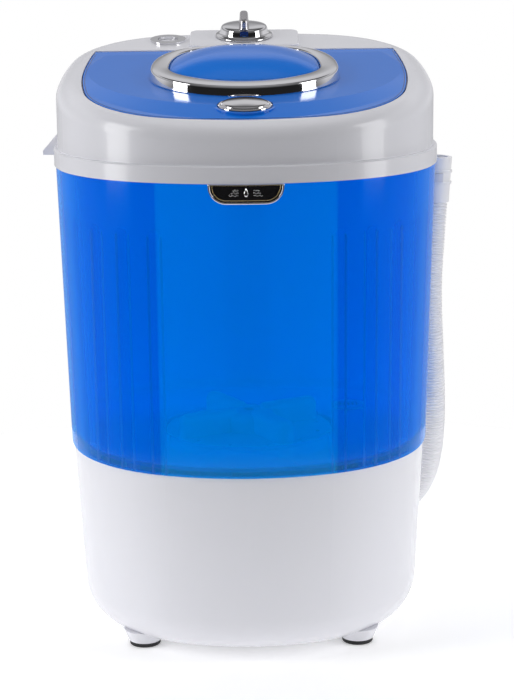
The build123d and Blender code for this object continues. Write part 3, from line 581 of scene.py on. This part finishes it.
def make_knob(chrome, satin):
    """Timer knob: flange, drafted body with a rounded top edge, and an upright grip fin."""
    profile = [(8, 3.9), (27.5, 3.9), (27.5, 4.7), (27.2, 5.3), (26.5, 5.7), (24.6, 5.9), (23.8, 6.2)]
    profile += [(23.2, 6.8), (22.9, 8.0), (22.4, 10.8), (22.1, 12.0), (21.4, 13.1), (20.2, 13.8)]
    profile += [(17.0, 14.3), (11.0, 14.5), (4.0, 14.5), (0.6, 14.5)]
    turns = even_turns(ROUND_SIDES)
    loops = []
    for radius, z in profile:
        loops.append([on_rim(radius * math.cos(t), KNOB_Y + radius * math.sin(t), z) for t in turns])
    body = skin("knob_body", loops, cap_first=True, cap_last=True)
    finish_piece(body, "knob", "chrome_plating", chrome, "timer_knob")
    straight = GRIP_HALF_LENGTH - GRIP_END_RADIUS
    slot = []
    for turn in (math.pi * step / 16 for step in range(17)):
        across = GRIP_END_RADIUS * math.cos(turn)
        slot.append(Vector((across, straight + GRIP_END_RADIUS * math.sin(turn), 0)))
    slot += [Vector((-point.x, -point.y, 0)) for point in slot]
    loops = []
    for grow, z in ((0.9, 14.0), (0.35, 14.7), (0.05, 15.6), (-0.05, 17), (-0.2, 20.5), (-0.45, 22.0),
                    (-1.0, 22.9), (-1.9, 23.5), (-2.9, 23.7)):
        loop = []
        for point in slot:
            spine = Vector((0, math.copysign(straight, point.y), 0))
            place = spine + (point - spine) * (1 + grow / GRIP_END_RADIUS)
            loop.append(on_rim(place.x, KNOB_Y + place.y, z))
        loops.append(loop)
    fin = skin("knob_grip", loops, cap_first=True, cap_last=True)
    finish_piece(fin, "knob", "chrome_plating", satin)


def make_lid_groove_shade(material):
    """Dark strip of painted shade where a groove runs just inside the lid's edge, round the front and both sides.
    """
    tree = tree_of("lid_panel")
    inset = 1.6
    half_width = 0.35
    sweep_end = 118             # degrees from the front on each side, up to the hinge corners
    rows = [[], [], [], []]
    section = ((-half_width, -0.2), (-half_width * 0.6, 0.12), (half_width * 0.6, 0.12), (half_width, -0.2))
    for step in range(-sweep_end, sweep_end + 1):
        turn = math.radians(step)
        outward = Vector((math.sin(turn), -math.cos(turn), 0))
        start = on_rim(*(outward * 250).xy, -2.0)
        inward = (on_rim(0, 0, -2.0) - start).normalized()
        edge = (RIM.inverted() @ tree.ray_cast(start, inward)[0]) / MM
        for row, (across, up) in zip(rows, section):
            place = edge - outward * (inset + across)
            top = tree.ray_cast(on_rim(place.x, place.y, 30), -rim_out)[0]
            row.append(top + rim_out * up * MM)
    line = strip_mesh("lid_groove_shade_line", rows)
    return finish_piece(line, "lid", "dark_blue_plastic", material)


INLET = (-73.0, 122.0)
INLET_RADIUS = 9.3
SCREEN_RINGS = 4
SCREEN_SPOKES = 6


def make_inlet_screen(material):
    """Domed strainer inside the inlet's mouth, with raised rings and spokes."""
    loops = []
    steps = 40
    for step in range(steps, 0, -1):
        share = step / steps
        loop = []
        for turn in even_turns(72):
            rings = max(0.0, math.cos(2 * math.pi * share * SCREEN_RINGS))
            spokes = max(0.0, math.cos(turn * SCREEN_SPOKES)) ** 8
            height = -1.6 + 1.1 * (1 - share**2) + 0.5 * max(rings, spokes)
            x = INLET[0] + INLET_RADIUS * share * math.cos(turn)
            y = INLET[1] + INLET_RADIUS * share * math.sin(turn)
            loop.append(on_rim(x, y, height))
        loops.append(loop)
    screen = skin("inlet_screen", loops, cap_last=True)
    return finish_piece(screen, "cabinet", "white_plastic", material)


SLOT_SHADE_START = 8.0
SLOT_SHADE_LENGTH = 48.0


def make_panel_slot_shade(material):
    """Black strip of painted shadow in the gap between the lid's hinge edge and the right of the control panel,
    given the black rubber material.
    """
    steps = 24
    rows = []
    for y, z in ((86.9, 0.0), (86.7, 1.5), (85.8, 1.5), (85.6, 0.0)):
        row = []
        for share in (step / steps for step in range(steps + 1)):
            taper = min(1, 2 * (1 - share) + 0.3)
            row.append(on_rim(SLOT_SHADE_START + SLOT_SHADE_LENGTH * share, y, z * taper))
        rows.append(row)
    slot_shade = strip_mesh("panel_slot_shade_strip", rows)
    return finish_piece(slot_shade, "cabinet", "black_rubber", material)


# ---- badge ---------------------------------------------------------------------------------
def surface_probe(node):
    """Function that gives the front face's y at a place x, z on a CAD node."""
    tree = tree_of(node)

    def front(x, z):
        hit = tree.ray_cast(Vector((x, -1, z)), Vector((0, 1, 0)))[0]
        return hit.y

    return front


BADGE_CORNER = 0.0152
FACE_STAND = 0.0012             # how far the badge's face stands off the tub


def badge_outline(inset, samples=16):
    """Flat top and big round lower corners, inside the badge's CAD box."""
    low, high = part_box("badge_bezel")
    half = high.x - inset
    top = high.z - inset * 0.35
    bottom = low.z + inset
    radius = min(BADGE_CORNER - inset, half)
    points = [(-half, top), (half, top)]
    for step in range(samples + 1):
        turn = -math.pi / 2 * step / samples
        points.append((half - radius + radius * math.cos(turn), bottom + radius + radius * math.sin(turn)))
    for step in range(samples + 1):
        turn = -math.pi / 2 - math.pi / 2 * step / samples
        points.append((-half + radius + radius * math.cos(turn), bottom + radius + radius * math.sin(turn)))
    return points


def even_loop(points, count):
    """The same closed outline with evenly spaced points."""
    closed = [Vector((x, 0, z)) for x, z in points + points[:1]]
    total = sum((b - a).length for a, b in zip(closed, closed[1:]))
    return [at_distance(closed, total * i / count)[0] for i in range(count)]


def rim_bead(name, inset, width, height, stand, front):
    """Raised bead that follows the badge's outline on the tub's curved front."""
    count = 220
    section = [(-0.5, -0.3), (-0.5, 0.4), (-0.3, 0.85), (0, 1), (0.3, 0.85), (0.5, 0.4), (0.5, -0.3)]
    loops = []
    for across, up in section:
        line = even_loop(badge_outline(inset + width * (0.5 + across)), count)
        loops.append([Vector((p.x, front(p.x, p.z) - stand - height * up, p.z)) for p in line])
    return skin(name, loops)


def make_badge(materials):
    front = surface_probe("tub")
    bezel = rim_bead("badge_rim", 0.0, 0.0017, 0.0010, 0.0013, front)
    finish_piece(bezel, "cabinet", "chrome_plating", materials["chrome_plating"], "badge_bezel")
    line = rim_bead("badge_inner_line", 0.0030, 0.0007, 0.0004, FACE_STAND, front)
    finish_piece(line, "cabinet", "chrome_plating", materials["badge_gold"])
    loops = []
    outline = even_loop(badge_outline(0.0008), 160)
    centre = Vector((0, 0, sum(p.z for p in outline) / len(outline)))
    for share in (1.0, 0.8, 0.6, 0.4, 0.2, 0.04):
        ring = [centre + (p - centre) * share for p in outline]
        loops.append([Vector((p.x, front(p.x, p.z) - FACE_STAND, p.z)) for p in ring])
    back = [Vector((p.x, front(p.x, p.z) - 0.0001, p.z)) for p in outline]
    plate = skin("badge_face", [back] + loops, cap_last=True)
    finish_piece(plate, "cabinet", "black_plastic", materials["black_plastic"], "badge_plate")
    make_drop_emblem(front, centre, materials["chrome_plating"])


def make_drop_emblem(front, centre, material):
    """Plain water drop between two ripples, in place of lettering."""
    loops = []
    for share, up in ((1.0, -0.2), (0.92, 0.6), (0.7, 0.9), (0.3, 1.0), (0.05, 1.0)):
        loop = []
        for turn in even_turns(48):
            wide = 0.0024 * math.sin(turn) * (0.5 - 0.5 * math.cos(turn)) ** 0.6
            tall = 0.0038 * math.cos(turn)
            x = wide * share
            z = centre.z + tall * share + 0.0005
            loop.append(Vector((x, front(x, z) - FACE_STAND - 0.0005 * up, z)))
        loops.append(loop)
    drop = skin("badge_drop", loops, cap_last=True)
    finish_piece(drop, "cabinet", "chrome_plating", material)
    for side in (-1, 1):
        for number in range(3):
            length = 0.0075 - 0.0015 * number
            points = []
            for step in range(25):
                x = side * (0.0065 + length * step / 24)
                wave = 0.0005 * math.sin(2 * math.pi * step / 12)
                points.append((x, centre.z + 0.0022 * (number - 1) + wave))
            rows = []
            for across, up in ((-1, -0.3), (-0.6, 0.8), (0.6, 0.8), (1, -0.3)):
                stand = FACE_STAND + 0.0003 * up
                rows.append([Vector((x, front(x, z) - stand, z + 0.00028 * across)) for x, z in points])
            strip = strip_mesh(f"badge_ripple_{'l' if side < 0 else 'r'}{number}", rows)
            finish_piece(strip, "cabinet", "chrome_plating", material)


# ---- floor and light -----------------------------------------------------------------------
def make_floor():
    """Pale disc just under the feet. Its own light keeps its edge from showing."""
    loops = []
    for radius in (0.1, 0.3, 0.5, 0.72):
        turns = even_turns(ROUND_SIDES)
        loops.append([Vector((radius * math.cos(t), radius * math.sin(t), -0.0002)) for t in turns])
    floor = skin("floor", loops, cap_first=True)
    nodes = plastic("floor_paper", (0.97, 0.97, 0.97), (0.96, 0.96, 0.96), 0.6, 0.05)
    nodes.shader.inputs["Emission Color"].default_value = (1, 1, 1, 1)
    nodes.shader.inputs["Emission Strength"].default_value = 0.3
    nodes.shader.inputs["Specular IOR Level"].default_value = 0.0
    floor.data.materials.append(nodes.material)


def area_light(name, place, target, size, size_y, power, glossy=True):
    data = bpy.data.lights.new(name, "AREA")
    data.shape = "RECTANGLE"
    data.size = size
    data.size_y = size_y
    data.energy = power
    light = bpy.data.objects.new(name, data)
    bpy.context.scene.collection.objects.link(light)
    aim = (Vector(target) - Vector(place)).to_track_quat("-Z", "Y")
    light.matrix_world = Matrix.Translation(place) @ aim.to_matrix().to_4x4()
    light.visible_camera = False
    light.visible_glossy = glossy


def ramp_of(tree, source, stops):
    """Grey levels by position, from a value of 0 to 1."""
    ramp = tree.nodes.new("ShaderNodeValToRGB")
    elements = ramp.color_ramp.elements
    for number, (position, level) in enumerate(stops):
        element = elements[number] if number < 2 else elements.new(position)
        element.position = position
        element.color = (level, level, level * 1.03, 1)
    tree.links.new(source, ramp.inputs["Fac"])
    return ramp.outputs["Color"]


def make_world():
    """White to the camera. To all else a studio: a lit backdrop behind and a dark room in front,
    each given as grey levels from straight down, 0, to straight up, 1."""
    world = bpy.data.worlds.new("studio")
    bpy.context.scene.world = world
    world.use_nodes = True
    tree = world.node_tree
    background = tree.nodes["Background"]
    direction = tree.nodes.new("ShaderNodeTexCoord").outputs["Generated"]
    split = tree.nodes.new("ShaderNodeSeparateXYZ")
    tree.links.new(direction, split.inputs["Vector"])

    def share(axis, low, high):
        node = tree.nodes.new("ShaderNodeMapRange")
        node.inputs["From Min"].default_value = low
        node.inputs["From Max"].default_value = high
        tree.links.new(split.outputs[axis], node.inputs["Value"])
        return node.outputs["Result"]

    behind = ramp_of(tree, share("Z", -1, 1), (
        (0.0, 0.3), (1.0, 0.34), (0.48, 0.45), (0.53, 0.75), (0.60, 0.45), (0.69, 0.28), (0.725, 0.62),
        (0.80, 0.60), (0.85, 0.14), (0.93, 0.08), (0.97, 0.30),
    ))
    in_front = ramp_of(tree, share("Z", -1, 1), (
        (0.0, 0.02), (1.0, 0.34), (0.50, 0.015), (0.60, 0.05), (0.75, 0.16), (0.93, 0.14), (0.97, 0.30),
    ))
    sides = tree.nodes.new("ShaderNodeMix")
    sides.data_type = "RGBA"
    tree.links.new(share("Y", -0.35, 0.25), sides.inputs["Factor"])
    tree.links.new(in_front, sides.inputs["A"])
    tree.links.new(behind, sides.inputs["B"])
    path = tree.nodes.new("ShaderNodeLightPath")
    mix = tree.nodes.new("ShaderNodeMix")
    mix.data_type = "RGBA"
    tree.links.new(path.outputs["Is Camera Ray"], mix.inputs["Factor"])
    tree.links.new(sides.outputs["Result"], mix.inputs["A"])
    mix.inputs["B"].default_value = (1, 1, 1, 1)
    tree.links.new(mix.outputs["Result"], background.inputs["Color"])


def make_lights():
    area_light("overhead", (0, 0.3, 1.7), (0, 0, 0.3), 1.6, 1.2, 8, glossy=False)
    area_light("left_softbox", (-1.3, -0.45, 0.75), (0, 0, 0.3), 0.5, 1.2, 10)
    area_light("right_softbox", (1.3, -0.45, 0.75), (0, 0, 0.3), 0.5, 1.2, 8)
    area_light("front_fill", (0, -2.2, 0.3), (0, 0, 0.1), 1.2, 0.6, 4, glossy=False)
    area_light("back_fill", (0, 1.6, 0.7), (0, 0, 0.3), 1.8, 1.0, 7, glossy=False)


# ---- put together --------------------------------------------------------------------------
make_camera()
materials = make_materials()
materials["satin_metal"] = metal("satin_metal", (0.62, 0.60, 0.61), (0.56, 0.54, 0.56), 0.28).material
materials["badge_gold"] = metal("badge_gold", (0.80, 0.66, 0.38), (0.7, 0.56, 0.3), 0.15).material
make_hose(materials["hose_plastic"])
paint_nodes(materials)
make_ring(materials["chrome_plating"])
make_dome(materials["lid_blue_plastic"])
make_button(materials["chrome_plating"])
make_knob(materials["chrome_plating"], materials["satin_metal"])
make_lid_groove_shade(materials["dark_blue_plastic"])
make_inlet_screen(materials["white_plastic"])
make_panel_slot_shade(materials["black_rubber"])
make_badge(materials)
make_floor()
make_world()
make_lights()
bpy.context.scene.view_settings.view_transform = "Standard"
